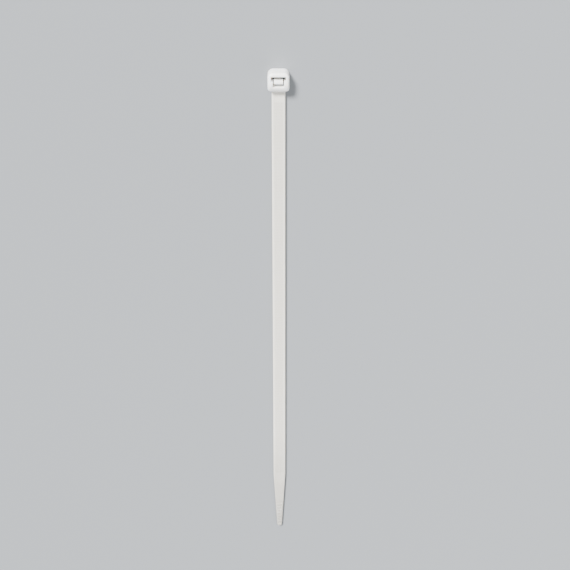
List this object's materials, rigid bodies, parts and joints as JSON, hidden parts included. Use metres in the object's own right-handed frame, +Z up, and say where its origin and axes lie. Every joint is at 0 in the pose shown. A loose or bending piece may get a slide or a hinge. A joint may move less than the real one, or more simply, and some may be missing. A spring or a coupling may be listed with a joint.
{
  "type": "cable tie",
  "caption": "One-piece moulded cable tie with a ratchet head, a toothed strap and a tapered, ribbed tail, lying flat on its toothed side.",
  "frame": {"origin": "middle of the strap passage through the head, on the plane that the tie rests on", "axes": "+X along the strap from the head to the tail, +Z up through the head from its entry face to its exit face, +Y across the strap"},
  "size_m": [0.2, 0.0074, 0.0052],
  "materials": {
    "nylon": "natural nylon 6/6, injection moulded, milky and slightly translucent, with a satin surface"
  },
  "bodies": {
    "root": {"cable_tie": "nylon"}
  },
  "joints": []
}
